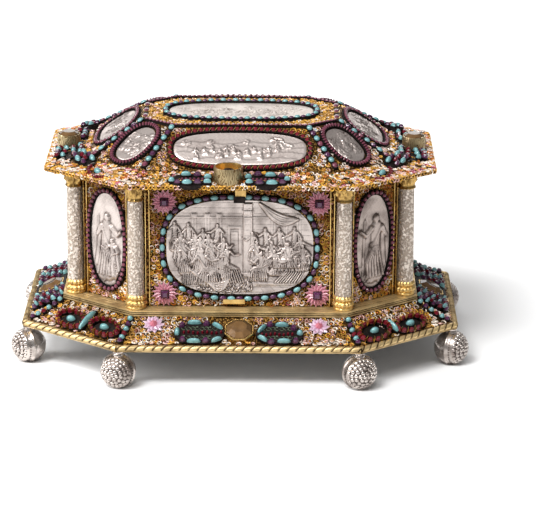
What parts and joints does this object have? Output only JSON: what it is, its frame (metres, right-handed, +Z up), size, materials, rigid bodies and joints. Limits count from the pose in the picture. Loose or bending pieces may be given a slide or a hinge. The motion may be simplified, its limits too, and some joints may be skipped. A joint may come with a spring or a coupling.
{
  "type": "reliquary casket",
  "caption": "Eight-sided jewelled silver casket with a sloping lift-off lid, oval relief plaques, corner columns and ball feet",
  "frame": {"origin": "on the ground under the middle of the casket", "axes": "+X along the casket's length, -Y towards its front, +Z up"},
  "size_m": [0.4634, 0.3328, 0.2446],
  "materials": {
    "gilt_plinth": "gilt silver filigree with coloured enamel, over a wooden core",
    "gilt_box": "gilt silver filigree with coloured enamel outside, plain gilt inside",
    "gilt_lid": "gilt silver filigree with coloured enamel outside, plain gilt inside",
    "collet_gilt": "gilt silver with leaf work, and smoky quartz in the closed ones",
    "jewelled_strips": "dark oxidised silver collets with garnets, amethysts and turquoise",
    "jewelled_frames": "dark oxidised silver collets with garnets, amethysts and turquoise",
    "foot_silver": "white silver with a granulated outer half",
    "column_silver": "white silver filigree shaft with gilt base and capital",
    "plaque_silver": "matte white silver chased in relief, with grey patina in the hollows"
  },
  "bodies": {
    "root": {"plinth": "gilt_plinth", "casket_box": "gilt_box", "lid": "gilt_lid", "lid_stone_strips": "jewelled_strips", "foot_1": "foot_silver", "foot_2": "foot_silver", "foot_3": "foot_silver", "foot_4": "foot_silver", "foot_5": "foot_silver", "foot_6": "foot_silver", "foot_7": "foot_silver", "foot_8": "foot_silver", "column_1": "column_silver", "column_2": "column_silver", "column_3": "column_silver", "column_4": "column_silver", "column_5": "column_silver", "column_6": "column_silver", "column_7": "column_silver", "column_8": "column_silver", "collet_right": "collet_gilt", "collet_back": "collet_gilt", "collet_left": "collet_gilt", "collet_front": "collet_gilt", "plaque_right": "plaque_silver", "frame_right": "jewelled_frames", "plaque_back_right": "plaque_silver", "frame_back_right": "jewelled_frames", "plaque_back": "plaque_silver", "frame_back": "jewelled_frames", "plaque_back_left": "plaque_silver", "frame_back_left": "jewelled_frames", "plaque_left": "plaque_silver", "frame_left": "jewelled_frames", "plaque_front_left": "plaque_silver", "frame_front_left": "jewelled_frames", "plaque_front": "plaque_silver", "frame_front": "jewelled_frames", "plaque_front_right": "plaque_silver", "frame_front_right": "jewelled_frames", "plaque_lid_right": "plaque_silver", "frame_lid_right": "jewelled_frames", "plaque_lid_back_right": "plaque_silver", "frame_lid_back_right": "jewelled_frames", "plaque_lid_back": "plaque_silver", "frame_lid_back": "jewelled_frames", "plaque_lid_back_left": "plaque_silver", "frame_lid_back_left": "jewelled_frames", "plaque_lid_left": "plaque_silver", "frame_lid_left": "jewelled_frames", "plaque_lid_front_left": "plaque_silver", "frame_lid_front_left": "jewelled_frames", "plaque_lid_front": "plaque_silver", "frame_lid_front": "jewelled_frames", "plaque_lid_front_right": "plaque_silver", "frame_lid_front_right": "jewelled_frames", "plaque_lid_top": "plaque_silver", "frame_lid_top": "jewelled_frames"}
  },
  "joints": []
}
